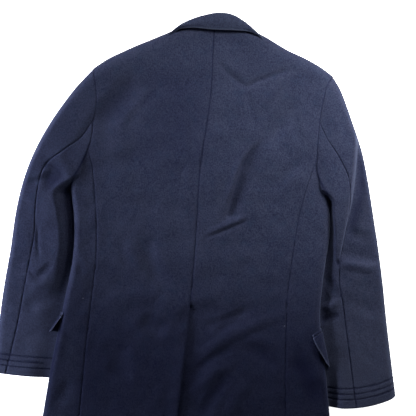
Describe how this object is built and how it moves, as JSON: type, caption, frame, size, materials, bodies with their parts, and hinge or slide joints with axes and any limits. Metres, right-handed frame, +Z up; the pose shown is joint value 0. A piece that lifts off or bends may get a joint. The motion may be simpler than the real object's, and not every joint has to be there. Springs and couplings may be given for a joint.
{
  "type": "overcoat",
  "caption": "Overcoat of heavy napped wool laid flat with its back up, with a turned-down collar, two-piece sleeves, flap pockets and a lapped centre-back vent.",
  "frame": {"origin": "middle of the box's underside, on the surface that the coat lies on", "axes": "+Y from the hem to the collar, +X to the coat's right side, +Z up out of the back"},
  "size_m": [0.7822, 0.996, 0.0523],
  "materials": {
    "navy_wool": "brushed nap",
    "collar_wool": "brushed nap",
    "pocket_wool": "brushed nap"
  },
  "bodies": {
    "root": {"back_left": "navy_wool", "back_right": "navy_wool", "side_left": "navy_wool", "side_right": "navy_wool", "front_left": "navy_wool", "front_right": "navy_wool", "lapel_left": "navy_wool", "lapel_right": "navy_wool", "top_sleeve_left": "navy_wool", "top_sleeve_right": "navy_wool", "under_sleeve_left": "navy_wool", "under_sleeve_right": "navy_wool", "collar_fall": "collar_wool", "collar_stand": "collar_wool", "pocket_flap_left": "pocket_wool", "pocket_flap_right": "pocket_wool", "pocket_welt_left": "pocket_wool", "pocket_welt_right": "pocket_wool"}
  },
  "joints": []
}
